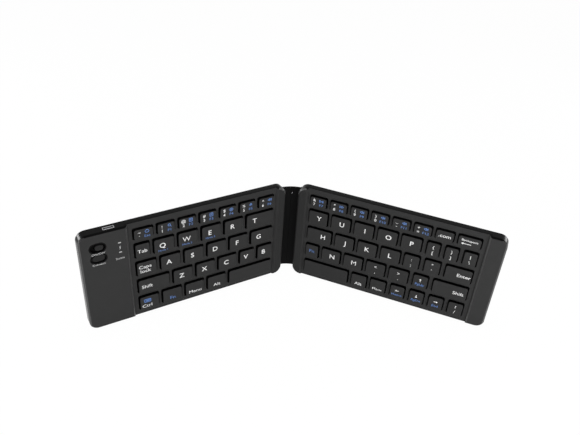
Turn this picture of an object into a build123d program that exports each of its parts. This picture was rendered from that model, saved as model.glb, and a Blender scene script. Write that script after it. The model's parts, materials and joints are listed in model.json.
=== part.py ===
"""A pocket keyboard in two hard halves that fold together about a leather strap.

Millimetres, +Z up.  The keyboard stands half open on its long space-bar edges, like a
greeting card: the strap is at the back, the keys face -Y, and the origin is at the
middle of the bottom of the whole.

Each half is drawn flat in a frame of its own and then turned about its crease in the
strap.  In that frame x runs from the hinge-side edge to the outer end (mirrored for the
left half), z runs up the height and y is the depth behind the raised bars' faces.
"""
from build123d import *
import math
import os

# ---------------------------------------------------------------- casing
half_length = 155.2       # hinge-side edge to outer end
half_height = 82.7        # space-bar edge to number-row edge
half_thickness = 8.25     # bar faces to back
corner_radius = 6.6       # outline corners
bar_bevel = 1.1           # edges of the raised bars
back_bevel = 0.9          # edges of the back
web_depth = 2.15          # key field below the bar faces
skin = 1.3                # top frame
wall = 1.5                # tray side walls
floor = 1.2               # tray back
hinge_bar_width = 6.2
hinge_ramp = 1.8          # slope from the hinge bar down to the key field
left_bar_width = 33.1     # holds the battery, the board and the controls
right_bar_width = 13.1

# ---------------------------------------------------------------- strap and folding
strap_thickness = 1.2
strap_inset = 3.75        # from the top and the bottom of the halves
strap_bow = 0.8           # outward bow between the creases
crease_depth = 5.8        # creases behind the bar faces
crease_out = 0.9          # creases beyond the hinge-side edges
closed_gap = 0.55         # between the bar faces when folded together
rest_fold = 25.353        # each half's turn from lying flat
tab_length = 8.0          # strap held inside each half
tab_clearance = 0.3       # tab end to the strap's rounded edge
ribbon_thickness = 0.2
ribbon_height = 22.0
ribbon_clearance = 0.12

# ---------------------------------------------------------------- keys
key_recess = 0.1          # key tops below the bar faces
key_gap = 0.65            # key foot to its opening
key_draft = 0.25          # how far each side leans in from foot to top
key_corner = 0.6          # clipped off at the foot
key_shell = 1.1
key_foot_depth = 4.2      # foot of a key below the bar faces
flange_width = 0.85       # catches under the frame
flange_thickness = 0.45
key_travel = 1.3
column_rib = 1.7          # frame between openings, side to side
outer_rib = 2.55          # the same beside the right half's narrow keys
row_rib = 2.6             # frame between openings, up and down
opening_corner = 1.0      # clipped off
block_start = 10.1        # first key's foot from the hinge-side edge
block_border = 3.4        # last opening to the outer bar
top_margin = 5.4          # number row's foot from the top edge
number_row_height = 8.5
letter_row_height = 12.2
left_letter_width = 15.0
right_letter_width = 15.15
left_number_width = 12.7
right_number_width = 12.95
t_width = 22.5
g_width = 18.4
b_width = 12.3
v_width = 12.2
left_space_width = 36.5
h_width = 19.7
bracket_width = 9.5
semicolon_width = 11.7
right_fn_width = 10.5
arrow_width = 11.2
right_space_width = 36.7
right_alt_width = 12.5

# ---------------------------------------------------------------- inside
plate_thickness = 0.6
plate_margin = 0.5        # plate and sheet from the walls around them
sheet_thickness = 0.35
dome_height = 3.4
dome_foot = 6.0           # across corners
dome_top = 3.6
dome_sides = 6
board_thickness = 1.0
board_depth = 5.0
battery_size = (20.5, 38.0, 4.4)      # along, up, deep
battery_lift = 10.0                   # from the bottom edge
magnet_size = (5.0, 10.0, 1.5)
magnet_from_end = 6.5
magnet_from_bottom = 18.0
magnet_from_top = 32.7                # clear of the button's flange
inner_clearance = 0.3

# ---------------------------------------------------------------- controls
slide_from_end = 12.2     # recess centre from the outer end
slide_from_top = 11.8
slide_recess = (10.4, 6.8)
slide_knob = (5.6, 4.2)
slide_knob_height = 1.0
slide_travel = 2.0
slide_stem = (2.4, 1.6)
slide_foot = (5.0, 3.4)
slide_clearance = 0.2
button_from_top = 20.7
button_size = (8.2, 4.6)
button_gap = 1.0
button_recess = 0.6       # below the bar face
button_flange = 1.4
button_travel = 0.5
light_from_end = 27.0
light_tops = (11.8, 15.9, 19.7)       # from the top edge
light_size = (2.0, 0.8)
light_length = 2.2
usb_from_end = 21.5
usb_size = (7.6, 5.6, 2.7)            # along, into the wall, deep
usb_wall = 0.35
usb_tongue = 0.7

# ---------------------------------------------------------------- fastening and feet
post_size = 4.0
post_from_hinge = 3.7
post_from_end = 5.6
post_from_edge = 6.0
hinge_post_from_edge = 13.0
screw_head_radius = 1.8
screw_head_height = 0.6
screw_radius = 0.8
shaft_sides = 8           # the thread-forming shaft and its hole
head_sides = 20
screw_length = 4.0
screw_clearance = 0.05
foot_size = (12.0, 4.0)
foot_height = 0.5
foot_corner = 1.0         # clipped off
foot_from_end = 16.0
foot_from_edge = 5.5

LEFT, RIGHT = -1, 1
bar_width = {LEFT: left_bar_width, RIGHT: right_bar_width}
strap_span = 2 * crease_depth + closed_gap      # crease to crease
web_back = web_depth + skin
floor_depth = half_thickness - floor
plate_depth = floor_depth - plate_thickness
sheet_depth = plate_depth - sheet_thickness


def slab(sketch, front, back):
    """A sketch in the plane of the faces, made solid between two depths."""
    return extrude(Plane.XZ.offset(-back) * sketch, back - front)


def block(side, near, far, low, high, front, back):
    """A block from near to far along a half, low to high, between two depths."""
    size = Rectangle(far - near, high - low)
    return slab(Pos(side * (near + far) / 2, (low + high) / 2) * size, front, back)


def prism(side, corners, low, high):
    """A solid with one outline, along and deep, from low to high."""
    shape = Polygon(*[(side * along, depth) for along, depth in corners], align=None)
    return extrude(Plane.XY.offset(low) * shape, high - low, dir=(0, 0, 1))


def outline(side, inset=0.0):
    """The rounded outline of a half, drawn in by an inset."""
    shape = RectangleRounded(half_length - 2 * inset, half_height - 2 * inset,
                             corner_radius - inset)
    return Pos(side * half_length / 2, half_height / 2) * shape


def stadium(size):
    """A level slot outline with round ends."""
    return SlotOverall(size[0], size[1])


def clipped(width, height, corner):
    """The corners of a rectangle with its own corners clipped off."""
    across, up = width / 2, height / 2
    quarter = [(across, up - corner), (across - corner, up)]
    upper = quarter + [(-x, y) for x, y in reversed(quarter)]
    return upper + [(-x, -y) for x, y in upper]


def regular(sides, radius):
    """The corners of a regular outline."""
    turns = [2 * math.pi * step / sides for step in range(sides)]
    return [(radius * math.cos(turn), radius * math.sin(turn)) for turn in turns]


def frustum(along, up, foot, top, front, back):
    """A flat-sided solid from a top outline to a larger foot, between two depths."""
    near = [(along + x, front, up + z) for x, z in top]
    far = [(along + x, back, up + z) for x, z in foot]
    quads = [[near[i - 1], near[i], far[i], far[i - 1]] for i in range(len(near))]
    return Solid(Shell([Face(Wire.make_polygon(ring)) for ring in [near, far, *quads]]))


# ---------------------------------------------------------------- key layout
def row(inner, outer=()):
    """A row of keys with the rib before each: narrow, then wide before the outer keys."""
    return ([(node, width, column_rib) for node, width in inner]
            + [(node, width, outer_rib) for node, width in outer])


def letters(word, width):
    return [("key_" + letter, width) for letter in word]


# Every row runs outwards from the hinge.  The key with no width takes what is left.
left_rows = [
    row([("left_number_keys", left_number_width)] * 6 + [("left_number_keys", None)]),
    row([("key_t", t_width), *letters("rewq", left_letter_width), ("left_side_keys", None)]),
    row([("key_g", g_width), *letters("fdsa", left_letter_width), ("left_side_keys", None)]),
    row([("key_b", b_width), ("key_v", v_width), *letters("cxz", left_letter_width),
         ("left_shift_key", None)]),
    row([("left_space_key", left_space_width), *[("left_side_keys", left_letter_width)] * 3,
         ("left_side_keys", None)]),
]
right_rows = [
    row([("right_number_keys", right_number_width)] * 7 + [("backspace_key", None)]),
    row(letters("yuiop", right_letter_width),
        [("right_side_keys", bracket_width)] * 2 + [("right_side_keys", None)]),
    row([("key_h", h_width), *letters("jkl", right_letter_width),
         ("right_side_keys", semicolon_width)],
        [("right_side_keys", semicolon_width), ("enter_key", None)]),
    row([("right_side_keys", right_fn_width), *letters("nm", right_letter_width),
         *[("right_side_keys", right_letter_width)] * 2],
        [("right_side_keys", arrow_width), ("right_shift_key", None)]),
    row([("right_space_key", right_space_width), *[("right_side_keys", right_alt_width)] * 2],
        [("right_side_keys", arrow_width)] * 3 + [("right_side_keys", None)]),
]
key_rows = {LEFT: left_rows, RIGHT: right_rows}


def lay_out(side):
    """Each key's node, its foot's centre along and up the half, its width and height."""
    block_end = half_length - bar_width[side] - block_border - key_gap
    top = half_height - top_margin
    keys = []
    for index, keys_in_row in enumerate(key_rows[side]):
        height = letter_row_height if index else number_row_height
        given = sum(width for _, width, _ in keys_in_row if width)
        gaps = sum(rib + 2 * key_gap for _, _, rib in keys_in_row[1:])
        rest = block_end - block_start - given - gaps
        end = block_start - keys_in_row[0][2] - 2 * key_gap
        for node, width, rib in keys_in_row:
            width = width or rest
            near = end + rib + 2 * key_gap
            keys.append((node, near + width / 2, top - height / 2, width, height))
            end = near + width
        top -= height + row_rib + 2 * key_gap
    return keys


def key_cap(side, along, up, width, height):
    """A hollow cap with leaning sides and a flange round its foot."""
    at = Pos(side * along, up)
    top = clipped(width - 2 * key_draft, height - 2 * key_draft, key_corner)
    foot = clipped(width, height, key_corner)
    cap = frustum(side * along, up, foot, top, key_recess, key_foot_depth)
    flange = Rectangle(width + 2 * flange_width, height + 2 * flange_width)
    cap += slab(at * flange, key_foot_depth - flange_thickness, key_foot_depth)
    hollow = Rectangle(width - 2 * key_shell - key_draft, height - 2 * key_shell - key_draft)
    return cap - slab(at * hollow, key_recess + key_shell, key_foot_depth)


def key_nodes(side):
    """The key nodes of a half, with grouped keys together."""
    groups = {}
    for node, along, up, width, height in lay_out(side):
        groups.setdefault(node, []).append(key_cap(side, along, up, width, height))
    return groups


# ---------------------------------------------------------------- casing pieces
def post_places():
    """Where the screw posts of a half stand, along and up."""
    ends = [(half_length - post_from_end, edge) for edge in
            (post_from_edge, half_height - post_from_edge)]
    hinge = [(post_from_hinge, edge) for edge in
             (hinge_post_from_edge, half_height - hinge_post_from_edge)]
    return ends + hinge


def post_sketch(side, place, size):
    return Pos(side * place[0], place[1]) * Rectangle(size, size)


def shaft(side, place, gap, front, back):
    """A screw's shaft, or with a gap round it its hole."""
    shape = Polygon(*regular(shaft_sides, screw_radius + gap), align=None)
    return slab(Pos(side * place[0], place[1]) * shape, front, back)


def head(side, place, gap, front, back):
    """A screw's head, or with a gap round it its seat."""
    shape = Polygon(*regular(head_sides, screw_head_radius + gap), align=None)
    return slab(Pos(side * place[0], place[1]) * shape, front, back)


def slide_place():
    return Pos(-(half_length - slide_from_end), half_height - slide_from_top)


def button_place():
    return Pos(-(half_length - slide_from_end), half_height - button_from_top)


def light_places():
    return [Pos(-(half_length - light_from_end), half_height - top) for top in light_tops]


def top_frame(side):
    """The matt frame: raised bars at both ends and the key field between them."""
    bar_start = half_length - bar_width[side]
    frame = slab(outline(side), 0, web_back)
    face_edges = frame.edges().filter_by_position(Axis.Y, -0.01, 0.01)
    frame = chamfer(face_edges, bar_bevel)
    field = [(hinge_bar_width - hinge_ramp / web_depth, -1),
             (hinge_bar_width + hinge_ramp, web_depth),
             (bar_start, web_depth), (bar_start, bar_bevel),
             (bar_start + bar_bevel + 1, -1)]
    frame -= prism(side, field, -1, half_height + 1)
    frame -= block(side, bar_start + skin, half_length + 1, -1, half_height + 1,
                   skin, web_back + 1)
    frame -= block(side, -1, hinge_bar_width - skin, -1, half_height + 1,
                   skin, web_back + 1)
    openings = Sketch() + [
        Pos(side * along, up)
        * Polygon(*clipped(width + 2 * key_gap, height + 2 * key_gap, opening_corner),
                  align=None)
        for _, along, up, width, height in lay_out(side)]
    frame -= slab(openings, web_depth - 1, web_back + 1)
    for place in post_places():
        frame += slab(post_sketch(side, place, post_size), skin, floor_depth)
        frame -= shaft(side, place, screw_clearance,
                       floor_depth - screw_length, floor_depth)
    if side == LEFT:
        frame = with_controls(frame)
    return frame


def with_controls(frame):
    """Opens the left bar for the slide switch, the button and the status lights."""
    bed = (slide_recess[0] + 2 * skin, slide_recess[1] + 2 * skin)
    frame += slab(slide_place() * stadium(bed), skin, 2 * skin)
    frame -= slab(slide_place() * stadium(slide_recess), -1, skin)
    track = Rectangle(slide_stem[0] + slide_travel + 2 * slide_clearance,
                      slide_stem[1] + 2 * slide_clearance)
    frame -= slab(slide_place() * track, 0, 3 * skin)
    hole = (button_size[0] + 2 * button_gap, button_size[1] + 2 * button_gap)
    frame -= slab(button_place() * stadium(hole), -1, 2 * skin + 1)
    for place in light_places():
        frame -= slab(place * Rectangle(*light_size), -1, skin + 1)
    return frame


def bottom_tray(side):
    """The glossy tray: back and side walls, stepped like the frame that closes it."""
    bar_start = half_length - bar_width[side]
    tray = slab(outline(side), skin, half_thickness)
    tray -= block(side, hinge_bar_width - skin, bar_start + skin, -1, half_height + 1,
                  skin - 1, web_back)
    back_edges = tray.edges().filter_by_position(
        Axis.Y, half_thickness - 0.01, half_thickness + 0.01)
    tray = chamfer(back_edges, back_bevel)
    tray -= slab(outline(side, wall), skin - 1, floor_depth)
    tray += tab_ledge(side)
    tray -= block(side, -1, tab_length + plate_margin, strap_inset,
                  half_height - strap_inset, crease_depth - strap_thickness / 2,
                  crease_depth + strap_thickness / 2)
    for place in post_places():
        tray -= head(side, place, screw_clearance,
                     half_thickness - screw_head_height, half_thickness + 1)
        tray -= shaft(side, place, screw_clearance, floor_depth - 1, half_thickness)
    if side == LEFT:
        tray = with_board_seat(tray)
    return tray


def board_box():
    """Near, far, low and high of the board in the left bar."""
    near = half_length - left_bar_width + skin + inner_clearance
    far = half_length - post_from_end - post_size / 2 - inner_clearance
    low = battery_lift + battery_size[1] + 2 * inner_clearance
    high = half_height - wall - inner_clearance
    return near, far, low, high


def tab_ledge(side):
    """The raised floor that the strap's tab lies on, clear of the posts."""
    ledge = block(side, 0, tab_length, strap_inset, half_height - strap_inset,
                  crease_depth, floor_depth)
    for place in post_places():
        around = post_sketch(side, place, post_size + 2 * inner_clearance)
        ledge -= slab(around, crease_depth, floor_depth)
    return ledge


def with_board_seat(tray):
    """Ribs under the board, and the hole in the top wall for the charging socket."""
    near, far, low, high = board_box()
    for rib in (low, high - wall):
        tray += block(LEFT, near, far, rib, rib + wall,
                      board_depth + board_thickness, floor_depth)
    usb_start = half_length - usb_from_end - usb_size[0] / 2
    return tray - block(LEFT, usb_start, usb_start + usb_size[0],
                        half_height - 2 * wall, half_height + 1,
                        board_depth - usb_size[2], board_depth)


def support_plate(side):
    """The thin aluminium plate under the keys."""
    far = half_length - bar_width[side] - plate_margin
    return block(side, tab_length + 2 * plate_margin, far, wall + plate_margin,
                 half_height - wall - plate_margin, plate_depth, floor_depth)


def dome_sheet(side):
    """The rubber sheet on the plate, with one low dome under each key."""
    far = half_length - bar_width[side] - plate_margin
    sheet = block(side, tab_length + 2 * plate_margin, far, wall + plate_margin,
                  half_height - wall - plate_margin, sheet_depth, plate_depth)
    foot = regular(dome_sides, dome_foot / 2)
    top = regular(dome_sides, dome_top / 2)
    domes = [frustum(side * along, up, foot, top, sheet_depth - dome_height, sheet_depth)
             for _, along, up, _, _ in lay_out(side)]
    return sheet + domes


def screws(side):
    """Flat-headed screws from the back into the frame's posts."""
    made = []
    head_back = half_thickness - screw_clearance
    for place in post_places():
        seat = half_thickness - screw_head_height
        tip = floor_depth - screw_length + 2 * screw_clearance
        made.append(head(side, place, 0, seat, head_back) + shaft(side, place, 0, tip, seat))
    return made


def rubber_feet(side):
    """Four pads on the back, for use lying open on a table."""
    made = []
    for along in (foot_from_end, half_length - foot_from_end):
        for up in (foot_from_edge, half_height - foot_from_edge):
            pad = Pos(side * along, up) * Polygon(*clipped(*foot_size, foot_corner), align=None)
            made.append(slab(pad, half_thickness, half_thickness + foot_height))
    return made


def magnets(side):
    """Two magnets under each outer bar, which hold the halves together when folded."""
    near = half_length - magnet_from_end - magnet_size[0] / 2
    heights = (magnet_from_bottom, half_height - magnet_from_top)
    return [block(side, near, near + magnet_size[0], up - magnet_size[1] / 2,
                  up + magnet_size[1] / 2, skin, skin + magnet_size[2])
            for up in heights]


# ---------------------------------------------------------------- strap pieces
def strap_profile(thickness, radius):
    """The strap seen from above, bowed between round edges on the creases."""
    half_span = strap_span / 2
    inner = ThreePointArc((-half_span, -thickness / 2), (0, strap_bow - thickness / 2),
                          (half_span, -thickness / 2))
    outer = ThreePointArc((half_span, thickness / 2), (0, strap_bow + thickness / 2),
                          (-half_span, thickness / 2))
    right_end = ThreePointArc((half_span, -thickness / 2), (half_span + radius, 0),
                              (half_span, thickness / 2))
    left_end = ThreePointArc((-half_span, thickness / 2), (-half_span - radius, 0),
                             (-half_span, -thickness / 2))
    return make_face([inner, right_end, outer, left_end])


def hinge_strap():
    """The free part of the leather, hollow for the ribbon cable."""
    height = half_height - 2 * strap_inset
    strap = Pos(0, 0, strap_inset) * extrude(
        strap_profile(strap_thickness, strap_thickness / 2), height)
    sleeve_thickness = ribbon_thickness + 2 * ribbon_clearance
    sleeve_height = ribbon_height + 2 * ribbon_clearance
    sleeve = Pos(0, 0, (half_height - sleeve_height) / 2) * extrude(
        strap_profile(sleeve_thickness, strap_thickness), sleeve_height)
    return strap - sleeve


def flex_cable():
    """The ribbon cable inside the leather."""
    return Pos(0, 0, (half_height - ribbon_height) / 2) * extrude(
        strap_profile(ribbon_thickness, ribbon_thickness / 2), ribbon_height)


def strap_tab(side):
    """The end of the leather that is held in a half, cut out round the posts."""
    near = strap_thickness / 2 + tab_clearance - crease_out
    tab = block(side, near, tab_length, strap_inset, half_height - strap_inset,
                crease_depth - strap_thickness / 2, crease_depth + strap_thickness / 2)
    for place in post_places():
        hole = post_sketch(side, place, post_size + 2 * inner_clearance)
        tab -= slab(hole, crease_depth - strap_thickness, crease_depth + strap_thickness)
    return tab


# ---------------------------------------------------------------- left bar contents
def circuit_board():
    near, far, low, high = board_box()
    return block(LEFT, near, far, low, high, board_depth, board_depth + board_thickness)


def battery():
    near = half_length - left_bar_width + skin + inner_clearance
    return block(LEFT, near, near + battery_size[0], battery_lift,
                 battery_lift + battery_size[1], floor_depth - battery_size[2],
                 floor_depth)


def usb_socket():
    """A pressed steel shell with its tongue, flush with the top wall."""
    middle = half_length - usb_from_end
    width, length, depth = usb_size
    front = board_depth - depth
    shell = block(LEFT, middle - width / 2, middle + width / 2, half_height - length,
                  half_height, front, board_depth)
    shell -= block(LEFT, middle - width / 2 + usb_wall, middle + width / 2 - usb_wall,
                   half_height - length + usb_wall, half_height + 1,
                   front + usb_wall, board_depth - usb_wall)
    return shell + block(LEFT, middle - width / 3, middle + width / 3,
                         half_height - length, half_height - usb_tongue,
                         front + depth / 2 - usb_tongue / 2,
                         front + depth / 2 + usb_tongue / 2)


def power_slider():
    """The knob in its recess, its stem and the foot that keeps it in."""
    at = slide_place() * Pos(slide_travel / 2, 0)
    knob_back = skin - slide_clearance
    slider = slab(at * stadium(slide_knob), knob_back - slide_knob_height, knob_back)
    slider += slab(at * Rectangle(*slide_stem), knob_back, 2 * skin + slide_clearance)
    return slider + slab(at * Rectangle(*slide_foot), 2 * skin + slide_clearance,
                         3 * skin)


def connect_button():
    """The oval push button with its flange and plunger."""
    flange_front = skin + slide_clearance
    button = slab(button_place() * stadium(button_size), button_recess, flange_front)
    flange = (button_size[0] + 2 * button_flange, button_size[1] + 2 * button_flange)
    button += slab(button_place() * stadium(flange), flange_front, flange_front + 0.6)
    plunger_back = board_depth - button_travel - slide_clearance
    return button + slab(button_place() * Rectangle(*slide_stem), flange_front,
                         plunger_back)


def status_lights():
    """Three small light windows, flush with the bar."""
    return [slab(place * Rectangle(light_size[0] - 2 * screw_clearance,
                                   light_size[1] - 2 * screw_clearance),
                 screw_clearance, light_length) for place in light_places()]


# ---------------------------------------------------------------- whole keyboard
def half_pieces(side):
    """Every piece of a half by node name, drawn flat."""
    name = "left" if side == LEFT else "right"
    pieces = {
        name + "_top_frame": top_frame(side),
        name + "_bottom_tray": bottom_tray(side),
        name + "_support_plate": support_plate(side),
        name + "_dome_sheet": dome_sheet(side),
        name + "_screws": screws(side),
        name + "_feet": rubber_feet(side),
        name + "_magnets": magnets(side),
        name + "_strap_tab": strap_tab(side),
    }
    if side == LEFT:
        pieces.update(circuit_board=circuit_board(), battery=battery(),
                      usb_socket=usb_socket(), power_slider=power_slider(),
                      connect_button=connect_button(), status_lights=status_lights())
    pieces.update(key_nodes(side))
    return pieces


def folded(side, fold):
    """The turn and shift that take a flat half to its place about its crease."""
    return (Pos(side * strap_span / 2, 0) * Rot(0, 0, -side * fold)
            * Pos(side * crease_out, -crease_depth))


def whole():
    """Every node in its place at rest, with the origin at the bottom's middle."""
    nodes = {"hinge_strap": [hinge_strap()], "flex_cable": [flex_cable()]}
    for side in (LEFT, RIGHT):
        for node, made in half_pieces(side).items():
            made = made if isinstance(made, list) else [made]
            nodes[node] = [folded(side, rest_fold) * piece for piece in made]
    box = Compound(children=[copy for made in nodes.values() for piece in made
                             for copy in [Pos(0, 0) * piece]]).bounding_box()
    crease_y = -(box.min.Y + box.max.Y) / 2
    print(f"creases at x = +-{strap_span / 2:.4f}, y = {crease_y:.4f}")
    return {node: [Pos(0, crease_y) * piece for piece in made]
            for node, made in nodes.items()}


os.makedirs("parts", exist_ok=True)
for node, made in whole().items():
    solids = [solid for piece in made for solid in piece.solids()]
    shape = solids[0] if len(solids) == 1 else Compound(children=solids)
    export_step(shape, f"parts/{node}.step")
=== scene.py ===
"""A folding keyboard in two halves, standing half open with its leather hinge behind.

Sizes are in metres.  A half has a frame of its own, as in the CAD source: along runs from
its hinge-side edge outwards, up is the height and depth goes behind its raised bars' faces.
"""

import json
import math

import bmesh
import bpy
import numpy as np
from mathutils import Matrix, Vector


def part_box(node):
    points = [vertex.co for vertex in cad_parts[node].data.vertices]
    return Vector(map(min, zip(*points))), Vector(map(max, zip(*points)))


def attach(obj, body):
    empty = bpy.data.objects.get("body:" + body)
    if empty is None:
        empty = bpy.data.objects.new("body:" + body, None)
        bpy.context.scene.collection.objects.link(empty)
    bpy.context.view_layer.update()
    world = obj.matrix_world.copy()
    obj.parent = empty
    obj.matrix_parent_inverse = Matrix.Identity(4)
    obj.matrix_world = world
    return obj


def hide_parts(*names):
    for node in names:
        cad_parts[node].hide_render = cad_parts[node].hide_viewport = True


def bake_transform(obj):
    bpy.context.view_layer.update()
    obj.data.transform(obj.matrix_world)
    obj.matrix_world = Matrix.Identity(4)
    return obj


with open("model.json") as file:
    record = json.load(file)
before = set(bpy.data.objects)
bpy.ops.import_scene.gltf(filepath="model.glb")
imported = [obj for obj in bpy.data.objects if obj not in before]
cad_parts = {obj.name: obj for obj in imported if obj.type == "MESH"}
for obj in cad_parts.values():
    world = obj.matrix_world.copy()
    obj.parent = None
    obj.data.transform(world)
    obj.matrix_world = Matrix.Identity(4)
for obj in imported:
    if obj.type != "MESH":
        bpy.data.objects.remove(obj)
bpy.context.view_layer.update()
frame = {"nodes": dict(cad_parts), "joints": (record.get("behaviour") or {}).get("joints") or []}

MM = 0.001
LEFT, RIGHT = -1, 1
HALF = {LEFT: "left", RIGHT: "right"}

# ---------------------------------------------------------------- sizes
crease_out = 0.9 * MM          # creases beyond the hinge-side edges
crease_depth = 5.8 * MM        # creases behind the bar faces
half_length = 155.2 * MM
hinge_bar_width = 6.2 * MM
outer_bar_width = {LEFT: 33.1 * MM, RIGHT: 13.1 * MM}
bar_bevel = 1.1 * MM
corner_radius = 6.6 * MM       # of a half's outline
bed_depth = 1.3 * MM           # bed of the slide switch

key_recess = 0.1 * MM          # key tops behind the bar faces
key_foot_depth = 3.75 * MM
key_corner = 1.4 * MM
key_edge = 0.32 * MM           # rounded edge of a key top
key_flare = 0.22 * MM          # a key's foot beyond its top
key_top_ring = 0.12 * MM       # level ring inside the rounded edge
smallest_corner = 0.15 * MM    # of a ring that is drawn in
row_gap = 4 * MM               # key tops further apart in height are in different rows

print_thickness = 0.02 * MM    # of lettering
print_lift = 0.3               # share of it that its middle stands in front of a face

strap_thickness = 1.2 * MM
strap_bow = 0.8 * MM
strap_edge = 0.45 * MM         # rounded edges of the leather
strap_reach = 6.0 * MM         # leather inside each half

# Tolerances for reading the CAD meshes.
merge_distance = 0.002 * MM
level_tolerance = 0.05 * MM    # of a key top's depth
bed_tolerance = 0.1 * MM
corner_grid = 0.01 * MM        # corners in one cell of it are the same corner
smooth_angle = math.radians(30)
upright_share = 0.5            # of a wall's normal along the depth
bevel_share = 0.8              # below it a face under the front is a bevel

joints = {joint["name"]: joint for joint in frame["joints"]}
crease = {side: Vector(joints[HALF[side] + "_fold"]["pos_m"]) for side in (LEFT, RIGHT)}
rest_fold = math.radians(-joints["left_fold"]["range_deg"][0])
strap_low, strap_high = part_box("hinge_strap")
half_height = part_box("left_top_frame")[1].z


# ---------------------------------------------------------------- the halves' frames
def on_half(side, points):
    """Points (along, up, depth) in their place: turned about the crease by the rest fold."""
    turn = -side * rest_fold
    x = side * (points[..., 0] + crease_out)
    y = points[..., 2] - crease_depth
    return np.stack([
        crease[side].x + x * math.cos(turn) - y * math.sin(turn),
        crease[side].y + x * math.sin(turn) + y * math.cos(turn),
        points[..., 1]], axis=-1)


def off_half(side, points):
    """The reverse of on_half: points in place to (along, up, depth)."""
    turn = -side * rest_fold
    x = points[..., 0] - crease[side].x
    y = points[..., 1] - crease[side].y
    along = side * (x * math.cos(turn) + y * math.sin(turn)) - crease_out
    depth = y * math.cos(turn) - x * math.sin(turn) + crease_depth
    return np.stack([along, points[..., 2], depth], axis=-1)


# ---------------------------------------------------------------- meshes
def place_in_scene(name, data):
    """An object for a mesh, a curve, a lamp or a camera, at the origin."""
    made = bpy.data.objects.new(name, data)
    bpy.context.scene.collection.objects.link(made)
    return made


def give_materials(mesh, materials):
    """These materials and no others on a mesh; faces choose among them afterwards."""
    mesh.materials.clear()
    for material in materials:
        mesh.materials.append(material)


def piece(name, points, faces, materials, face_materials=None, smooth=True):
    """A mesh object from points and faces, with its faces turned outwards."""
    mesh = bpy.data.meshes.new(name)
    mesh.from_pydata(points.reshape(-1, 3).tolist(), [], faces)
    give_materials(mesh, materials)
    if face_materials is not None:
        mesh.polygons.foreach_set("material_index", face_materials)
    work = bmesh.new()
    work.from_mesh(mesh)
    bmesh.ops.recalc_face_normals(work, faces=work.faces)
    work.to_mesh(mesh)
    work.free()
    mesh.polygons.foreach_set("use_smooth", [smooth] * len(mesh.polygons))
    return place_in_scene(name, mesh)


def mesh_points(mesh):
    """The places of a mesh's vertices, one a row."""
    points = np.empty(3 * len(mesh.vertices))
    mesh.vertices.foreach_get("co", points)
    return points.reshape(-1, 3)


def renumbered(faces, first):
    """Faces whose corners are counted from first on."""
    return [tuple(corner + first for corner in face) for face in faces]


def tube_faces(rings, count, first=0):
    """Quads between rings of count points each, closed by a face at both ends."""
    ring = np.arange(count)
    after = (ring + 1) % count
    faces = []
    for step in range(rings - 1):
        low = first + step * count
        faces += np.stack([low + ring, low + after, low + count + after,
                           low + count + ring], axis=1).tolist()
    last = first + (rings - 1) * count
    return faces + [(first + ring).tolist(), (last + ring).tolist()]


def rounded_ring(width, height, corner, steps=6):
    """A level rounded rectangle: each corner is a quarter turn about its own centre."""
    turn = np.linspace(0, math.pi / 2, steps)
    quarters = []
    for start, (across, up) in enumerate([(1, 1), (-1, 1), (-1, -1), (1, -1)]):
        angle = turn + start * math.pi / 2
        quarters.append(np.stack([
            across * (width / 2 - corner) + corner * np.cos(angle),
            up * (height / 2 - corner) + corner * np.sin(angle)], axis=1))
    return np.concatenate(quarters)


def cushion_rings(centre, size, corner, profile):
    """Rounded rectangles drawn in by each (inset, depth) of a profile, one ring a step."""
    rings = []
    for inset, depth in profile:
        ring = rounded_ring(size[0] - 2 * inset, size[1] - 2 * inset,
                            max(corner - inset, smallest_corner))
        rings.append(np.column_stack([centre[0] + ring[:, 0], centre[1] + ring[:, 1],
                                      np.full(len(ring), depth)]))
    return np.stack(rings)


# ---------------------------------------------------------------- surface effects
def feed(tree, node, inputs):
    """Each named input of a node is linked to a socket, or set to a number or a colour."""
    for name, value in inputs.items():
        if isinstance(value, bpy.types.NodeSocket):
            tree.links.new(value, node.inputs[name])
        else:
            node.inputs[name].default_value = value


def add_node(tree, kind, inputs, operation=None):
    """A shader node of a kind, with its inputs fed."""
    node = tree.nodes.new("ShaderNode" + kind)
    if operation:
        node.operation = operation
    feed(tree, node, inputs)
    return node


def effect_group(name, inputs):
    """A node group that gives out a colour, a roughness and a normal.

    Its inputs have the names and first values given; a value of four numbers is a colour.
    """
    group = bpy.data.node_groups.new(name, "ShaderNodeTree")
    for socket, value in inputs.items():
        kind = "NodeSocketColor" if isinstance(value, tuple) else "NodeSocketFloat"
        made = group.interface.new_socket(socket, in_out="INPUT", socket_type=kind)
        made.default_value = value
    for socket, kind in [("Colour", "NodeSocketColor"), ("Roughness", "NodeSocketFloat"),
                         ("Normal", "NodeSocketVector")]:
        group.interface.new_socket(socket, in_out="OUTPUT", socket_type=kind)
    return group, group.nodes.new("NodeGroupInput"), group.nodes.new("NodeGroupOutput")


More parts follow.
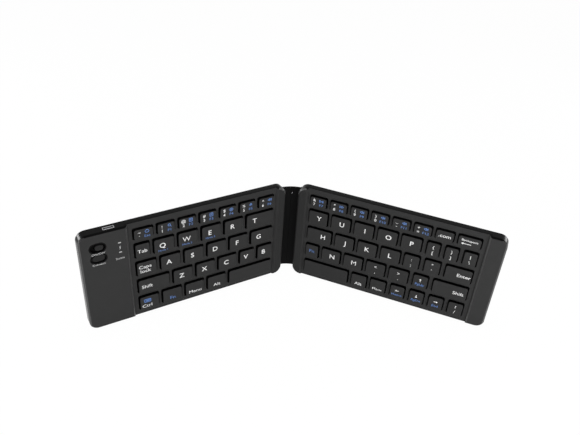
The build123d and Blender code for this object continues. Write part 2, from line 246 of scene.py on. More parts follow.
def moulded_surface():
    """The fine spark-worn texture of moulded plastic, with a faint cloudiness of colour.

    Fine noise is the height of a bump.  Colour and roughness are multiplied by one plus
    Cloudiness times a slow noise that is centred on nought.
    """
    group, given, made = effect_group(
        "moulded_surface", {"Colour": (0.04, 0.04, 0.04, 1), "Grain": 5000.0, "Relief": 0.1,
                            "Cloudiness": 0.15, "Roughness": 0.5})
    place = add_node(group, "TexCoord", {}).outputs["Object"]
    grain = add_node(group, "TexNoise", {
        "Vector": place, "Scale": given.outputs["Grain"], "Detail": 3.0})
    bump = add_node(group, "Bump", {
        "Distance": 0.03 * MM, "Strength": given.outputs["Relief"],
        "Height": grain.outputs["Fac"]})
    cloud = add_node(group, "TexNoise", {"Vector": place, "Scale": 90.0, "Detail": 4.0})
    centred = add_node(group, "Math", {0: cloud.outputs["Fac"], 1: 0.5}, "SUBTRACT")
    swing = add_node(group, "Math", {
        0: centred.outputs[0], 1: given.outputs["Cloudiness"], 2: 1.0}, "MULTIPLY_ADD")
    tint = add_node(group, "VectorMath", {
        0: given.outputs["Colour"], "Scale": swing.outputs[0]}, "SCALE")
    matt = add_node(group, "Math", {
        0: given.outputs["Roughness"], 1: swing.outputs[0]}, "MULTIPLY")
    feed(group, made, {"Colour": tint.outputs["Vector"], "Roughness": matt.outputs[0],
                       "Normal": bump.outputs["Normal"]})
    return group


def leather_surface():
    """Pebbled leather: rounded cells for the grain over stretched noise for the creases.

    Their sum, with the cells at 0.7, is the height of a bump.  The colour is paler where the
    noise is high and the roughness grows from the middle of a cell outwards.
    """
    group, given, made = effect_group(
        "leather_surface", {"Colour": (0.01, 0.01, 0.01, 1), "Relief": 0.6})
    place = add_node(group, "TexCoord", {}).outputs["Object"]
    pebbles = add_node(group, "TexVoronoi", {"Vector": place, "Scale": 1400.0})
    pebbles.feature = "SMOOTH_F1"
    stretch = add_node(group, "Mapping", {"Vector": place, "Scale": (900.0, 900.0, 60.0)})
    folds = add_node(group, "TexNoise", {
        "Vector": stretch.outputs["Vector"], "Scale": 1.0, "Detail": 3.0})
    height = add_node(group, "Math", {
        0: pebbles.outputs["Distance"], 1: 0.7, 2: folds.outputs["Fac"]}, "MULTIPLY_ADD")
    bump = add_node(group, "Bump", {
        "Distance": 0.12 * MM, "Strength": given.outputs["Relief"],
        "Height": height.outputs[0]})
    worn = add_node(group, "MapRange", {
        "Value": folds.outputs["Fac"], "From Min": 0.3, "From Max": 0.9,
        "To Min": 0.75, "To Max": 1.35})
    tint = add_node(group, "VectorMath", {
        0: given.outputs["Colour"], "Scale": worn.outputs["Result"]}, "SCALE")
    sheen = add_node(group, "MapRange", {
        "Value": pebbles.outputs["Distance"], "To Min": 0.42, "To Max": 0.62})
    feed(group, made, {"Colour": tint.outputs["Vector"],
                       "Roughness": sheen.outputs["Result"],
                       "Normal": bump.outputs["Normal"]})
    return group


# ---------------------------------------------------------------- materials
moulded = moulded_surface()
pebbled = leather_surface()


def finish(name, effect_tree, values, constants):
    """A material whose colour, roughness and normal come from an effect group."""
    material = bpy.data.materials.new(name)
    material.use_nodes = True
    tree = material.node_tree
    effect = tree.nodes.new("ShaderNodeGroup")
    effect.node_tree = effect_tree
    feed(tree, effect, values)
    feed(tree, tree.nodes["Principled BSDF"], {
        "Base Color": effect.outputs["Colour"], "Roughness": effect.outputs["Roughness"],
        "Normal": effect.outputs["Normal"], **constants})
    return material


def plastic(name, grey, roughness, grain=5000.0, relief=0.1, specular=0.5, tint=(1, 1, 1)):
    """A moulded or printed finish: a grey, or that share of a tint."""
    colour = (grey * tint[0], grey * tint[1], grey * tint[2], 1)
    return finish(name, moulded, {"Colour": colour, "Grain": grain, "Relief": relief,
                                  "Roughness": roughness},
                  {"Specular IOR Level": specular})


def metal(name, colour, roughness, relief=0.06):
    """Bare or plated metal of a colour."""
    return finish(name, moulded, {"Colour": (*colour, 1), "Grain": 2500.0,
                                  "Relief": relief, "Roughness": roughness},
                  {"Metallic": 1.0})


# Each finish has its grey or colour, then its roughness, then what sets it apart.
frame_plastic = plastic("frame_plastic", 0.022, 0.52, relief=0.18, specular=0.08)
# The hinge bar's finish is a faint painted shade, a little darker than the face.
hinge_shade_plastic = plastic("hinge_shade_plastic", 0.018, 0.50, relief=0.15, specular=0.06)
# The rim finish is a painted highlight: a paler grey on bevels where edges catch the light.
rim_highlight_plastic = plastic("rim_highlight_plastic", 0.050, 0.35, relief=0.05, specular=0.20)
# The wall finish is a near-black painted shade for key sides, walls, the slide's bed and the top
# bevel.
wall_shade_plastic = plastic("wall_shade_plastic", 0.0015, 0.40, relief=0.05, specular=0.025)
tray_plastic = plastic("tray_plastic", 0.002, 0.20, relief=0.02, specular=0.045)
back_plastic = plastic("back_plastic", 0.022, 0.52, relief=0.18, specular=0.08)
key_plastic = plastic("key_plastic", 0.020, 0.50, relief=0.15, specular=0.08)
control_plastic = plastic("control_plastic", 0.010, 0.42, relief=0.12, specular=0.12)
# The well finish is a near-black painted shade round and inside the control slots; it is also
# the dark middle light window.
shade_and_window_plastic = plastic("shade_and_window_plastic", 0.002, 0.5, relief=0.05, specular=0.04)
feet_rubber = plastic("feet_rubber", 0.005, 0.8, grain=3000.0, relief=0.3, specular=0.2)
sheet_rubber = plastic("sheet_rubber", 0.010, 0.8, grain=3000.0, relief=0.2, specular=0.1)
white_print = plastic("white_print", 0.66, 0.55, relief=0.03, specular=0.3)
blue_print = plastic("blue_print", 0.72, 0.55, relief=0.03, specular=0.3,
                     tint=(0.10, 0.21, 0.52))
label_print = plastic("label_print", 0.40, 0.55, relief=0.03, specular=0.2)
solder_mask = plastic("solder_mask", 0.10, 0.35, relief=0.05, tint=(0.2, 1.0, 0.4))
ribbon_film = plastic("ribbon_film", 0.45, 0.3, relief=0.03, tint=(1.0, 0.5, 0.08))
leather = finish("leather", pebbled, {"Colour": (0.0018, 0.0018, 0.0019, 1)},
                 {"Specular IOR Level": 0.04})
steel = metal("steel", (0.50, 0.50, 0.51), 0.25)
screw_steel = metal("screw_steel", (0.20, 0.20, 0.21), 0.35)
plate_metal = metal("plate_metal", (0.45, 0.45, 0.46), 0.45)
rivet_metal = metal("rivet_metal", (0.45, 0.45, 0.46), 0.25)
magnet_plating = metal("magnet_plating", (0.66, 0.65, 0.62), 0.18)
cell_foil = metal("cell_foil", (0.60, 0.60, 0.62), 0.38, relief=0.3)

# The finish of each CAD node that is shown as it is, by the end of its name.
cad_finishes = {
    "_feet": feet_rubber,
    "_screws": screw_steel,
    "_dome_sheet": sheet_rubber,
    "_support_plate": plate_metal,
    "_magnets": magnet_plating,
    "_strap_tab": leather,
    "usb_socket": steel,
    "power_slider": control_plastic,
    "connect_button": control_plastic,
    "circuit_board": solder_mask,
    "battery": cell_foil,
    "flex_cable": ribbon_film,
}


for node_name, cad_node in frame["nodes"].items():
    for ending, node_finish in cad_finishes.items():
        if node_name.endswith(ending):
            give_materials(cad_node.data, [node_finish])


# ---------------------------------------------------------------- casing
# The wall and hinge materials carry painted shade, the rim one a painted highlight.
FACE, SHADED_WALL, SHADED_HINGE, HIGHLIGHT_RIM = 0, 1, 2, 3    # a top frame's materials, in their order
POLISHED, MATT = 0, 1                  # a bottom tray's


def frame_finish(side, backwards, middle):
    """The finish of a top frame's face, by its place and how far its normal faces back.

    Upright walls, the bed of the slide and the bevel along the top edge get a near-black
    painted shade, the bevels of the outer bar and the hinge bar's upper corner a painted
    highlight, and the rest of the hinge bar a faint painted shade of its own.
    """
    along, up, depth = middle
    bar_start = half_length - outer_bar_width[side]
    upright = abs(backwards) < upright_share
    sunk = bed_depth - bed_tolerance < depth < bed_depth + bed_tolerance
    bevelled = depth < bed_depth and abs(backwards) < bevel_share
    on_hinge_bar = along < hinge_bar_width and depth < bed_depth
    top_bevel = bevelled and up > half_height - bar_bevel and along > hinge_bar_width
    outer_bevel = bar_start < along < bar_start + bar_bevel or along > half_length - bar_bevel
    hinge_corner = on_hinge_bar and up > half_height - corner_radius
    if upright or sunk or top_bevel:
        return SHADED_WALL
    if bevelled and (outer_bevel or hinge_corner):
        return HIGHLIGHT_RIM
    return SHADED_HINGE if on_hinge_bar else FACE


def tray_finish(side, backwards, middle):
    """The finish of a bottom tray's face: its back is matt and its walls are polished."""
    return MATT if backwards > upright_share else POLISHED


def dress_shell(side, node, name, materials, finish_of):
    """A copy of a CAD shell, smooth but for its sharp edges, with a finish for each face."""
    mesh = frame["nodes"][node].data.copy()
    work = bmesh.new()
    work.from_mesh(mesh)
    bmesh.ops.remove_doubles(work, verts=work.verts, dist=merge_distance)
    for edge in work.edges:
        edge.smooth = edge.calc_face_angle(math.pi) < smooth_angle
    backwards = Vector((side * math.sin(rest_fold), math.cos(rest_fold), 0))
    for face in work.faces:
        middle = off_half(side, np.array(face.calc_center_median()))
        face.material_index = finish_of(side, face.normal.dot(backwards), middle)
        face.smooth = True
    give_materials(mesh, materials)
    work.to_mesh(mesh)
    work.free()
    made = place_in_scene(name, mesh)
    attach(made, HALF[side] + "_half")
    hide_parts(node)
    return made


for half in (LEFT, RIGHT):
    top_frame = dress_shell(half, HALF[half] + "_top_frame", "frame_" + HALF[half],
                            [frame_plastic, wall_shade_plastic, hinge_shade_plastic, rim_highlight_plastic],
                            frame_finish)
    tray = dress_shell(half, HALF[half] + "_bottom_tray", "tray_" + HALF[half],
                       [tray_plastic, back_plastic], tray_finish)


# ---------------------------------------------------------------- lettering
letter_weight = 0.007          # thickening of the letters, of their nominal size
wide_letters = "MW"
wide_letter_weight = -0.005
word_weight = 0.0
letter_stretch = 1.06
word_stretch = 1.18


def glyph_mesh(text, weight=0.0):
    """Text as a thin closed mesh of nominal size one, centred, lying in x and y."""
    curve = bpy.data.curves.new("letters", "FONT")
    curve.body = text
    curve.size = 1.0
    curve.resolution_u = 3
    curve.offset = weight
    curve.extrude = 0.5
    curve.align_x = "CENTER"
    holder = place_in_scene("letters", curve)
    bpy.context.view_layer.update()
    mesh = bpy.data.meshes.new_from_object(holder)
    points = mesh_points(mesh)
    faces = [tuple(polygon.vertices) for polygon in mesh.polygons]
    bpy.data.objects.remove(holder)
    bpy.data.curves.remove(curve)
    bpy.data.meshes.remove(mesh)
    return points, faces


cap_height = float(np.ptp(glyph_mesh("H")[0][:, 1]))
glyphs = {}


def words(text, height, stretch):
    """Text with capitals of that height: its middle is on its own centre line."""
    if text not in glyphs:
        weight = (word_weight if len(text) > 1 else
                  wide_letter_weight if text in wide_letters else letter_weight)
        glyphs[text] = glyph_mesh(text, weight)
    points, faces = glyphs[text]
    size = height / cap_height
    placed = points * np.array([size * stretch, size, 1.0])
    placed[:, 1] -= height / 2
    return placed, faces


def strokes(lines, width, size=1.0):
    """Straight bars of a width along each (start, end), all times size.

    They are thin and closed like the text, and their ends are cut square.
    """
    points, faces = [], []
    box = [(0, 1, 2, 3), (7, 6, 5, 4), (0, 4, 5, 1), (1, 5, 6, 2), (2, 6, 7, 3), (3, 7, 4, 0)]
    for start, end in lines:
        a, b = np.array(start, float), np.array(end, float)
        way = (b - a) / np.linalg.norm(b - a)
        aside = np.array([-way[1], way[0]]) * width / 2
        flat = [a - aside, b - aside, b + aside, a + aside]
        faces += renumbered(box, len(points))
        points += [(*p, -0.5) for p in flat] + [(*p, 0.5) for p in flat]
    return np.array(points, float) * np.array([size, size, 1.0]), faces


def printed(side, centre, flat, face_depth):
    """Flat marks as ink on a face: x is to the reader's right and z is its thickness."""
    return on_half(side, np.stack([
        centre[0] + side * flat[:, 0],
        centre[1] + flat[:, 1],
        face_depth - print_thickness * (flat[:, 2] + print_lift)], axis=1))


# ---------------------------------------------------------------- pictures on the keys
icon_line = 0.3                # width of a picture's lines, of half its size


def loop(corners):
    """The sides of a closed figure, as (start, end) pairs."""
    return [(corners[i - 1], corners[i]) for i in range(len(corners))]


def circle(radius, sides=10, centre=(0, 0)):
    """The sides of a regular figure close to a circle."""
    turns = [2 * math.pi * i / sides for i in range(sides)]
    return loop([(centre[0] + radius * math.cos(t), centre[1] + radius * math.sin(t))
                 for t in turns])


icon = {
    "home": loop([(-1, 0.1), (0, 1), (1, 0.1), (0.6, -0.7), (-0.6, -0.7)]),
    "search": circle(0.6, centre=(-0.2, 0.2)) + [((0.25, -0.25), (0.9, -0.9))],
    "page": loop([(-0.8, -0.9), (0.8, -0.9), (0.8, 0.9), (-0.8, 0.9)])
            + [((-0.4, 0.3), (0.4, 0.3)), ((-0.4, -0.2), (0.4, -0.2))],
    "lens": circle(0.9) + circle(0.35),
    "tree": [((0, -0.9), (0, 0.9)), ((-0.7, -0.6), (0, 0.9)), ((0.7, -0.6), (0, 0.9))],
    "back": loop([(-1, 0), (0, 0.7), (0, -0.7)]) + loop([(0, 0), (1, 0.7), (1, -0.7)]),
    "play": loop([(-1, 0.7), (-1, -0.7), (0.1, 0)])
            + [((0.5, 0.7), (0.5, -0.7)), ((0.9, 0.7), (0.9, -0.7))],
    "next": loop([(1, 0), (0, 0.7), (0, -0.7)]) + loop([(0, 0), (-1, 0.7), (-1, -0.7)]),
    "sound": loop([(-1, 0.3), (-0.5, 0.3), (0, 0.8), (0, -0.8), (-0.5, -0.3), (-1, -0.3)])
             + [((0.4, 0.4), (0.4, -0.4)), ((0.8, 0.7), (0.8, -0.7))],
    "keyboard": loop([(-1.3, -0.7), (1.3, -0.7), (1.3, 0.7), (-1.3, 0.7)])
                + [((-0.9, 0.2), (0.9, 0.2)), ((-0.9, -0.2), (0.9, -0.2))],
    "long_left": [((-2.6, 0), (2.6, 0)), ((-2.6, 0), (-1.7, 0.5)),
                  ((-2.6, 0), (-1.7, -0.5)), ((-1.7, 0.5), (-1.7, -0.5))],
    "left": [((-1, 0), (1, 0)), ((-1, 0), (-0.4, 0.45)), ((-1, 0), (-0.4, -0.45))],
    "right": [((-1, 0), (1, 0)), ((1, 0), (0.4, 0.45)), ((1, 0), (0.4, -0.45))],
    "up": [((0, -0.9), (0, 0.9)), ((0, 0.9), (-0.45, 0.3)), ((0, 0.9), (0.45, 0.3))],
    "down": [((0, -0.9), (0, 0.9)), ((0, -0.9), (-0.45, -0.3)),
             ((0, -0.9), (0.45, -0.3))],
}

# ---------------------------------------------------------------- legends
WHITE, BLUE = 0, 1             # the two inks, in the order of a legend's materials
letter_height = 3.8 * MM
word_height = 2.7 * MM
stacked_height = 2.4 * MM
digit_height = 2.2 * MM
function_height = 1.95 * MM    # names of functions, in blue
right_menu_height = 2.0 * MM
backspace_height = 1.65 * MM
mode_height = 1.4 * MM
icon_size = 1.45 * MM          # half the width of most pictures
long_arrow_size = 1.3 * MM
keyboard_icon_size = 1.8 * MM

# Places of legends from the middle of their key, across to the reader's right and up.
letter_up = 0.3 * MM
number_up = 1.8 * MM
digits_across = -3.1 * MM
functions_across = 2.4 * MM
functions_up = -1.9 * MM
low_word_up = -2.4 * MM        # words on the keys beside the space bars


def legend(text, height, across=0.0, up=0.0, colour=WHITE):
    """A mark on a key, centred at a place: a text, or icon: and the name of a picture."""
    return (text, height, across, up, colour)


def word(text, across=0.0, up=0.0, colour=WHITE):
    """A word of the usual height, with its place in millimetres."""
    return legend(text, word_height, across * MM, up * MM, colour)


def letter(text, across=0.0):
    """A letter key: one large capital, so many millimetres across."""
    return [legend(text, letter_height, across * MM, letter_up)]


def mode_letter(text, mode):
    """A letter key with a small blue name of a mode at its lower edge."""
    return [*letter(text, -1.3),
            legend("Mode " + mode, mode_height, across=-1.0 * MM, up=-4.0 * MM, colour=BLUE)]


def number(shifted, digit, blue, function):
    """A number key: two white marks at its left, a blue picture over a name at its right."""
    return [legend(shifted, digit_height, digits_across, number_up),
            legend(digit, digit_height, digits_across, -number_up),
            legend("icon:" + blue, icon_size, functions_across, number_up, BLUE),
            legend(function, function_height, functions_across, functions_up, BLUE)]


def stacked(upper, lower):
    """A punctuation key: one mark over the other."""
    return [legend(upper, stacked_height, up=2.3 * MM),
            legend(lower, stacked_height, up=-2.6 * MM)]


def arrow(way, name):
    """An arrow key: a white arrow over a blue name."""
    return [legend("icon:" + way, icon_size, up=1.6 * MM),
            legend(name, function_height, up=-2.2 * MM, colour=BLUE)]


keyboard_icon = legend("icon:keyboard", keyboard_icon_size, across=-1.6 * MM, up=2.2 * MM,
                       colour=BLUE)
backspace_word = legend("Backspace", backspace_height, up=1.5 * MM)
backspace_arrow = legend("icon:long_left", long_arrow_size, across=-2.0 * MM, up=-1.6 * MM)
left_menu = legend("Menu", word_height, up=low_word_up)
right_menu = legend("Menu", right_menu_height, up=low_word_up)
alt_word = legend("Alt", word_height, up=low_word_up)

# The marks of each key, in rows from the top, each row from the hinge outwards.
legends = {
    LEFT: [
        [number("^", "6", "back", "F6"), number("%", "5", "tree", "F5"),
         number("$", "4", "lens", "F4"), number("#", "3", "page", "F3"),
         number("@", "2", "page", "F2"), number("!", "1", "search", "F1"),
         number("~", "`", "home", "Esc")],
        [letter("T", -4.6), letter("R", -1.3), mode_letter("E", "3"), mode_letter("W", "2"),
         mode_letter("Q", "1"), [word("Tab", -0.2)]],
        [letter("G", -2.8), *[letter(c, -1.4) for c in "FDSA"],
         [word("Caps", -1.3, 1.9), word("lock", -1.3, -1.9)]],
        [*[letter(c, -1.1) for c in "BVCXZ"], [word("Shift", -5.5, -0.4)]],
        [[], [alt_word], [left_menu], [word("Fn", 0, -2.0, BLUE)],
         [keyboard_icon, word("Ctrl", -2.0, -2.6)]],
    ],
    RIGHT: [
        [number("&", "7", "play", "F7"), number("*", "8", "next", "F8"),
         number("(", "9", "sound", "F9"), number(")", "0", "sound", "F10"),
         number("_", "-", "sound", "F11"), number("+", "=", "sound", "F12"),
         [word(".com", 0, 0.2)], [backspace_word, backspace_arrow]],
        [*[letter(c, 1.0) for c in "YUIO"], letter("P", 0.3),
         stacked("{", "["), stacked("}", "]"), stacked("|", "\\")],
        [letter("H", 3.3), letter("J", 1.0), letter("K"), letter("L", -0.3),
         stacked(":", ";"), stacked("\"", "'"), [word("Enter", 4.0)]],
        [[word("Fn", 0, 0.4, BLUE)], letter("N", 1.2), letter("M", 0.8),
         stacked("<", ","), stacked(">", "."), arrow("up", "PgUp"),
         [word("Shift", 6.5, -0.6)]],
        [[], [alt_word], [right_menu], arrow("left", "Home"), arrow("down", "PgDn"),
         arrow("right", "End"), stacked("?", "/")],
    ],
}


# ---------------------------------------------------------------- keys
# The side material carries painted shade.
CAP_TOP, CAP_SHADED_SIDE = 0, 1       # a cap's materials, in their order


def top_patches(node, side):
    """Boxes (low along, low up, high along, high up) of the key tops of a CAD node.

    The triangles that lie wholly at the tops' depth are joined where they share a corner,
    by giving every corner the lowest label of the triangles round it until none changes.
    """
    mesh = frame["nodes"][node].data
    mesh.calc_loop_triangles()
    local = off_half(side, mesh_points(mesh))
    triangles = np.empty(3 * len(mesh.loop_triangles), int)
    mesh.loop_triangles.foreach_get("vertices", triangles)
    triangles = triangles.reshape(-1, 3)
    level = np.all(np.abs(local[triangles][:, :, 2] - key_recess) < level_tolerance, axis=1)
    triangles = triangles[level]
    _, corner = np.unique(np.round(local[:, :2] / corner_grid).astype(int), axis=0,
                          return_inverse=True)
    corner = corner.reshape(-1)[triangles]
    label = np.arange(corner.max() + 1)
    while True:
        lowest = label[corner].min(axis=1)
        new = label.copy()
        np.minimum.at(new, corner.reshape(-1), np.repeat(lowest, 3))
        if np.array_equal(new, label):
            break
        label = new
    group = label[corner][:, 0]
    boxes = []
    for value in np.unique(group):
        patch = local[triangles[group == value]].reshape(-1, 3)
        boxes.append((*patch[:, :2].min(axis=0), *patch[:, :2].max(axis=0)))
    return boxes


def key_tops(side):
    """Every key top of a half as (node, box), in rows from the top, each hinge outwards."""
    nodes = [name for name in frame["nodes"]
             if name.startswith("key_") or name.endswith(("_key", "_keys"))]
    found = []
    for node in nodes:
        middle = sum(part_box(node), Vector()) / 2
        if middle.x * side > 0:
            found += [(node, box) for box in top_patches(node, side)]
    found.sort(key=lambda top: -(top[1][1] + top[1][3]))
    rows, last = [], None
    for node, box in found:
        up = (box[1] + box[3]) / 2
        if last is None or last - up > row_gap:
            rows.append([])
            last = up
        rows[-1].append((node, box))
    return [sorted(row, key=lambda top: top[1][0]) for row in rows]


def box_centre(box):
    """The middle of a box, as (along, up)."""
    return ((box[0] + box[2]) / 2, (box[1] + box[3]) / 2)


def cap_rings(box):
    """A key cap: rounded rectangles from its foot up to a softly rounded top edge."""
    size = (box[2] - box[0] + 2 * key_flare, box[3] - box[1] + 2 * key_flare)
    turn = np.linspace(0, math.pi / 2, 5)
    edge = [(key_flare + key_edge * (1 - math.cos(t)),
             key_recess + key_edge * (1 - math.sin(t))) for t in turn]
    top_ring = (edge[-1][0] + key_top_ring, key_recess)
    profile = [(0, key_foot_depth), *edge, top_ring]
    return cushion_rings(box_centre(box), size, key_corner + key_flare, profile)


def make_caps(node, side, boxes):
    """The caps of one key node as a piece: their flared sides carry painted shade, darker than
    their tops.
    """
    points, faces, finishes = [], [], []
    for index, box in enumerate(boxes):
        rings = cap_rings(box)
        levels, around = rings.shape[:2]
        faces += tube_faces(levels, around, index * levels * around)
        finishes += [CAP_SHADED_SIDE] * around + [CAP_TOP] * around * (levels - 2)
        finishes += [CAP_SHADED_SIDE, CAP_TOP]
        points.append(on_half(side, rings).reshape(-1, 3))
    cap = piece("cap_" + node, np.concatenate(points), faces, [key_plastic, wall_shade_plastic],
                finishes)
    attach(cap, node)
    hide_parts(node)


def print_legends(node, side, boxes, marks_of_keys):
    """The legends of one key node as a piece, in white and blue ink."""
    points, faces, colours, count = [], [], [], 0
    for box, marks in zip(boxes, marks_of_keys):
        for text, height, across, up, colour in marks:
            if text.startswith("icon:"):
                flat, sides = strokes(icon[text.removeprefix("icon:")], icon_line, height)
            else:
                stretch = letter_stretch if len(text) == 1 else word_stretch
                flat, sides = words(text, height, stretch)
            flat = flat + np.array([across, up, 0])
            points.append(printed(side, box_centre(box), flat, key_recess))
            faces += renumbered(sides, count)
            colours += [colour] * len(sides)
            count += len(flat)
    if points:
        ink = piece("legend_" + node, np.concatenate(points), faces,
                    [white_print, blue_print], colours, smooth=False)
        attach(ink, node)


def dress_keys(side):
    """Caps and legends for each key node of a half, riding on its body."""
    rows = key_tops(side)
    if [len(row) for row in rows] != [len(row) for row in legends[side]]:
        raise ValueError(f"{HALF[side]} keys found: {[len(row) for row in rows]}")
    keys_of_node = {}
    for row, marks_in_row in zip(rows, legends[side]):
        for (node, box), marks in zip(row, marks_in_row):
            keys_of_node.setdefault(node, []).append((box, marks))
    for node, keys in keys_of_node.items():
        boxes, marks_of_keys = zip(*keys)
        make_caps(node, side, boxes)
        print_legends(node, side, boxes, marks_of_keys)


for half in (LEFT, RIGHT):
    dress_keys(half)


# ---------------------------------------------------------------- strap
def strap_side(side):
    """Half of the leather, from the middle to inside its half.

    Seen from above its centre line is a bow, an arc of height strap_bow between the
    creases, that runs on past the crease along the half's back.  A section is a rounded
    slab across the height, and it is carried along the line.
    """
    middle = (crease[LEFT] + crease[RIGHT]) / 2
    span = abs(crease[side].x)
    across = np.linspace(0, 1, 25)
    bow = np.stack([side * span * across, middle.y + strap_bow * (1 - across ** 2)], axis=1)
    past = np.linspace(0, 1, 12)[1:] * strap_reach
    out = np.array([side * math.cos(rest_fold), -math.sin(rest_fold)])
    inside = np.array([crease[side].x, crease[side].y]) + past[:, None] * out
    line = np.concatenate([bow, inside])
    way = np.gradient(line, axis=0)
    way /= np.linalg.norm(way, axis=1, keepdims=True)
    aside = np.stack([-way[:, 1], way[:, 0]], axis=1) * side
    low, high = strap_low.z, strap_high.z
    section = rounded_ring(strap_thickness, high - low, strap_edge, steps=5)
    points = np.empty((len(line), len(section), 3))
    points[:, :, :2] = line[:, None, :] + section[None, :, :1] * aside[:, None, :]
    points[:, :, 2] = (low + high) / 2 + section[None, :, 1]
    faces = tube_faces(len(line), len(section))
    strap = piece("strap_leather_" + HALF[side], points, faces, [leather])
    if side == LEFT:
        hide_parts("hinge_strap")
    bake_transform(strap)


for half in (LEFT, RIGHT):
    strap_side(half)


# ---------------------------------------------------------------- marks on the left bar
control_from_end = 12.2 * MM   # the slide's and the button's middle
slide_from_top = 11.8 * MM
button_from_top = 20.7 * MM
slide_size = (10.2 * MM, 6.6 * MM)
button_size = (10.0 * MM, 6.4 * MM)
light_from_end = 27.0 * MM
light_tops = [11.8 * MM, 15.9 * MM, 19.7 * MM]
light_size = (2.0 * MM, 0.8 * MM)
light_corner = 0.3 * MM
light_depths = (0.02 * MM, 1.0 * MM)    # of a window's face and of its back
label_height = 1.5 * MM
label_stretch = 1.15
bolt_size = 1.1 * MM
bolt_line = 0.4                # width of its lines, of its size
slot_flat = 0.01 * MM          # part of a slot's end that is left straight
rim_width = 0.9 * MM
rim_rise = 0.01 * MM           # in front of the bar's face
rim_edge = 0.03 * MM           # depth of its outer edge
rim_depth = 0.6 * MM           # depth of its inner edge


def bar_mark(name, from_end, from_top, shape, material):
    """A mark printed on the left bar's face, from its (points, faces), centred there."""
    flat, faces = shape
    centre = (half_length - from_end, half_height - from_top)
    mark = piece(name, printed(LEFT, centre, flat, 0), faces, [material], smooth=False)
    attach(mark, "left_half")


def label(name, text, from_end, from_top):
    """A small word under a control or the lights."""
    bar_mark(name, from_end, from_top, words(text, label_height, label_stretch),
             label_print)


def shade_collar(name, from_top, size):
    """A thin ring of painted shade round a control and into its slot: slot outlines, grown by
    each (growth, depth) of a loop.
    """
    profile = [(0, -rim_rise), (rim_width, -rim_rise), (rim_width, rim_edge), (0, rim_depth)]
    centre = (half_length - control_from_end, half_height - from_top)
    rings = cushion_rings(centre, size, size[1] / 2 - slot_flat,
                          [(-growth, depth) for growth, depth in profile])
    levels, around = rings.shape[:2]
    step, along = np.meshgrid(np.arange(levels), np.arange(around), indexing="ij")
    after, beside = (step + 1) % levels, (along + 1) % around
    faces = np.stack([step * around + along, step * around + beside,
                      after * around + beside, after * around + along], axis=-1)
    ring = piece(name, on_half(LEFT, rings), faces.reshape(-1, 4).tolist(), [shade_and_window_plastic])
    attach(ring, "left_half")


def status_windows():
    """The outer two light windows are pale dashes and the middle one is dark."""
    points, faces, finishes = [], [], []
    for index, from_top in enumerate(light_tops):
        ring = rounded_ring(*light_size, light_corner, steps=3)
        local = np.concatenate([
            np.column_stack([half_length - light_from_end + ring[:, 0],
                             half_height - from_top + ring[:, 1],
                             np.full(len(ring), depth)]) for depth in light_depths])
        points.append(on_half(LEFT, local))
        window = tube_faces(2, len(ring), index * len(local))
        faces += window
        finishes += [index % 2] * len(window)
    lights = piece("light_windows", np.concatenate(points), faces,
                   [label_print, shade_and_window_plastic], finishes, smooth=False)
    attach(lights, "left_half")
    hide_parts("status_lights")


shade_collar("slide_shade_rim", slide_from_top, slide_size)
shade_collar("button_shade_rim", button_from_top, button_size)
label("label_on_off", "ON/OFF", from_end=control_from_end, from_top=16.6 * MM)
label("label_connect", "Connect", from_end=control_from_end - 0.4 * MM, from_top=25.3 * MM)
label("label_status", "Status", from_end=light_from_end - 0.6 * MM, from_top=24.7 * MM)
bolt_lines = [((0.3, 1.2), (-0.35, 0)), ((-0.35, 0), (0.35, 0)), ((0.35, 0), (-0.3, -1.2))]
bar_mark("mark_bolt", light_from_end, light_tops[1],
         strokes(bolt_lines, bolt_line, bolt_size), label_print)
status_windows()


# ---------------------------------------------------------------- rivet
def rivet(across, up, radius, height, root=0.1 * MM):
    """A low dome on the front of the strap: circles that shrink as they rise.

    The first circle lies root behind the leather's front.
    """
    turn = np.linspace(0, math.pi / 2, 5)[:-1, None]
    around = np.linspace(0, 2 * math.pi, 16, endpoint=False)
    front = crease[LEFT].y + strap_bow - strap_thickness / 2
    circle_radius = radius * np.cos(turn)
    rings = np.stack(np.broadcast_arrays(
        across + circle_radius * np.cos(around),
        front + root - height * np.sin(turn),
        up + circle_radius * np.sin(around)), axis=-1)
    dome = piece("strap_rivet", rings, tube_faces(len(turn), len(around)), [rivet_metal])
    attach(dome, "strap")


rivet(across=0.7 * MM, up=73.7 * MM, radius=0.42 * MM, height=0.35 * MM)

# ---------------------------------------------------------------- stage
floor_reach = 3.0
paper_grey = 0.85
floor_glow = 0.98              # share of the floor that glows for the camera
fill_strength = 0.10           # of the world's light on the object


def background_mask(tree):
    """One where the camera, a mirror-like surface or glass looks at the background."""
    path = add_node(tree, "LightPath", {})
    seen = add_node(tree, "Math", {
        0: path.outputs["Is Camera Ray"], 1: path.outputs["Is Glossy Ray"]}, "MAXIMUM")
    both = add_node(tree, "Math", {
        0: seen.outputs[0], 1: path.outputs["Is Transmission Ray"]}, "MAXIMUM")
    return both.outputs[0]


def pale_floor():
    """White paper that still takes a shadow: it glows for the camera and for mirrors only."""
    material = bpy.data.materials.new("pale_floor")
    material.use_nodes = True
    tree = material.node_tree
    tree.nodes.clear()
    paper = add_node(tree, "BsdfDiffuse", {"Color": (paper_grey, paper_grey, paper_grey, 1)})
    glow = add_node(tree, "Emission", {})
    share = add_node(tree, "Math", {0: background_mask(tree), 1: floor_glow}, "MULTIPLY")
    mix = add_node(tree, "MixShader", {
        0: share.outputs[0], 1: paper.outputs[0], 2: glow.outputs[0]})
    add_node(tree, "OutputMaterial", {"Surface": mix.outputs[0]})
    return material


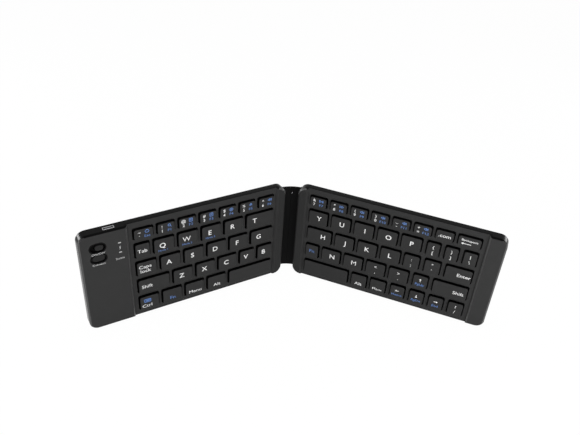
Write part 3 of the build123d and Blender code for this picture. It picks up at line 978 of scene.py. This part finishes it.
def studio_world():
    """A faint even light on the object, and white for the camera and for mirrors."""
    world = bpy.data.worlds.new("studio")
    world.use_nodes = True
    tree = world.node_tree
    tree.nodes.clear()
    fill = add_node(tree, "Background", {"Color": (1, 1, 1, 1), "Strength": fill_strength})
    white = add_node(tree, "Background", {"Color": (1, 1, 1, 1)})
    mix = add_node(tree, "MixShader", {
        0: background_mask(tree), 1: fill.outputs[0], 2: white.outputs[0]})
    add_node(tree, "OutputWorld", {"Surface": mix.outputs[0]})
    return world


def softbox(name, place, aim, size, power):
    """A square area lamp at a place, facing a point."""
    lamp = bpy.data.lights.new(name, "AREA")
    lamp.size = size
    lamp.energy = power
    holder = place_in_scene(name, lamp)
    holder.location = place
    holder.rotation_euler = (Vector(aim) - Vector(place)).to_track_quat("-Z", "Y").to_euler()


floor_mesh = bpy.data.meshes.new("floor")
floor_mesh.from_pydata([(-floor_reach, -floor_reach, 0), (floor_reach, -floor_reach, 0),
                        (floor_reach, floor_reach, 0), (-floor_reach, floor_reach, 0)],
                       [], [(0, 1, 2, 3)])
floor = place_in_scene("floor", floor_mesh)
floor_mesh.materials.append(pale_floor())
bpy.context.scene.world = studio_world()

# Two low lamps before the keys, one overhead, and two beyond the ends and behind, which
# draw the glints on the edges.
softbox("left_front", place=(-0.30, -0.35, 0.08), aim=(-0.10, 0, 0.04), size=0.25, power=1.1)
softbox("right_front", place=(0.22, -0.35, 0.08), aim=(0.10, 0, 0.04), size=0.25, power=1.6)
softbox("overhead", place=(0, 0, 1.1), aim=(0, 0, 0.04), size=0.6, power=10.0)
softbox("left_glint", place=(-0.70, 0.28, 0.15), aim=(-0.14, -0.03, 0.08), size=0.2, power=3.2)
softbox("right_glint", place=(0.65, 0.28, 0.12), aim=(0.14, -0.03, 0.08), size=0.2, power=1.2)

# ---------------------------------------------------------------- camera
camera_place = Vector((-46.953, -375.599, 338.143)) * MM
camera_tilt = 0.6076           # radians down from level
camera_yaw = -0.1149           # radians about the vertical
camera_roll = 0.0758           # radians about its own axis
focal_pixels = 641.695
image_width = 580              # pixels

level_right = Vector((math.cos(camera_yaw), math.sin(camera_yaw), 0))
look = Vector((-math.sin(camera_yaw) * math.cos(camera_tilt),
               math.cos(camera_yaw) * math.cos(camera_tilt), -math.sin(camera_tilt)))
level_up = level_right.cross(look)
right = math.cos(camera_roll) * level_right + math.sin(camera_roll) * level_up
upward = -math.sin(camera_roll) * level_right + math.cos(camera_roll) * level_up
camera_data = bpy.data.cameras.new("camera")
camera_data.sensor_width = 36.0
camera_data.lens = focal_pixels * camera_data.sensor_width / image_width
camera_data.clip_start = 0.01
camera = place_in_scene("camera", camera_data)
turned = Matrix((right, upward, -look)).transposed().to_4x4()
camera.matrix_world = Matrix.Translation(camera_place) @ turned
bpy.context.scene.camera = camera
bpy.context.scene.view_settings.view_transform = "Standard"
